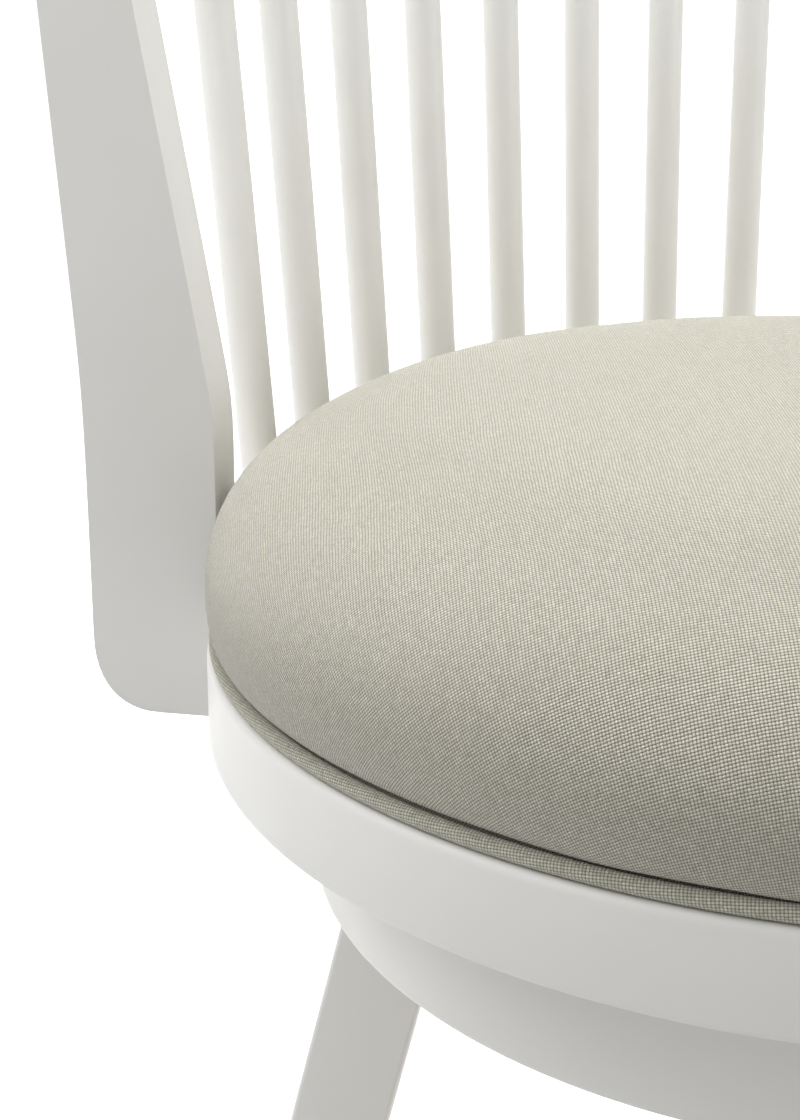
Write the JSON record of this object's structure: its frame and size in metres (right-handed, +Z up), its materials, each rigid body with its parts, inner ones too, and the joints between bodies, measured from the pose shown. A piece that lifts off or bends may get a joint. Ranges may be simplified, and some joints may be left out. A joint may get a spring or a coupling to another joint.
{
  "type": "swivel counter stool",
  "caption": "Round upholstered counter stool whose seat and curved spindle back swivel on a splayed four-legged painted wooden base with a curved foot rail.",
  "frame": {"origin": "on the floor at the middle of the stool's outline, 38.4 mm behind the swivel axis", "axes": "+Z up, +Y towards the back, the stool faces -Y"},
  "size_m": [0.5052, 0.539, 1],
  "materials": {
    "white_paint": "satin white paint on hardwood",
    "plywood": "bare birch plywood",
    "seat_fabric": "plain woven pale grey-beige upholstery",
    "welt_fabric": "bias-cut piping in the seat's fabric",
    "zinc": "zinc-plated pressed steel",
    "steel": "brushed nickel-plated steel",
    "nylon": "off-white nylon"
  },
  "bodies": {
    "base": {"base_ring": "white_paint", "leg_rear_left": "white_paint", "leg_rear_right": "white_paint", "leg_front_right": "white_paint", "leg_front_left": "white_paint", "stretcher_rear": "white_paint", "stretcher_right": "white_paint", "stretcher_front": "white_paint", "stretcher_left": "white_paint", "base_board": "plywood", "swivel_bottom_plate": "zinc", "swivel_eyelet": "zinc", "kick_plate": "steel", "leg_bolt_rear_left": "steel", "leg_bolt_rear_right": "steel", "leg_bolt_front_right": "steel", "leg_bolt_front_left": "steel", "kick_plate_screw_left": "steel", "kick_plate_screw_right": "steel", "swivel_bottom_screw_1": "zinc", "swivel_bottom_screw_2": "zinc", "swivel_bottom_screw_3": "zinc", "swivel_bottom_screw_4": "zinc", "glide_rear_left": "nylon", "glide_rear_right": "nylon", "glide_front_right": "nylon", "glide_front_left": "nylon"},
    "seat": {"seat_ring": "white_paint", "lower_back_rail": "white_paint", "crest_rail": "white_paint", "spindle_1": "white_paint", "spindle_2": "white_paint", "spindle_3": "white_paint", "spindle_4": "white_paint", "spindle_5": "white_paint", "spindle_6": "white_paint", "spindle_7": "white_paint", "spindle_8": "white_paint", "back_post_left": "white_paint", "back_post_right": "white_paint", "seat_board": "plywood", "cushion_board": "plywood", "cushion": "seat_fabric", "cushion_welt": "welt_fabric", "swivel_top_plate": "zinc", "post_bolt_left_1": "steel", "post_bolt_left_2": "steel", "post_bolt_right_1": "steel", "post_bolt_right_2": "steel", "rail_screw_left": "zinc", "rail_screw_right": "zinc", "cushion_screw_1": "zinc", "cushion_screw_2": "zinc", "cushion_screw_3": "zinc", "swivel_top_screw_1": "zinc", "swivel_top_screw_2": "zinc", "swivel_top_screw_3": "zinc", "swivel_top_screw_4": "zinc"},
    "ball_cage": {"ball_cage": "steel"}
  },
  "joints": [
    {"name": "seat_swivel", "type": "hinge", "parent": "base", "child": "seat", "pos_m": [0, -0.03836, 0.5315], "axis": [0, 0, 1], "continuous": true},
    {"name": "ball_cage_roll", "type": "hinge", "parent": "base", "child": "ball_cage", "pos_m": [0, -0.03836, 0.5315], "axis": [0, 0, 1], "continuous": true}
  ],
  "couplings": [
    {"joint": "ball_cage_roll", "follows": "seat_swivel", "ratio": 0.5}
  ]
}
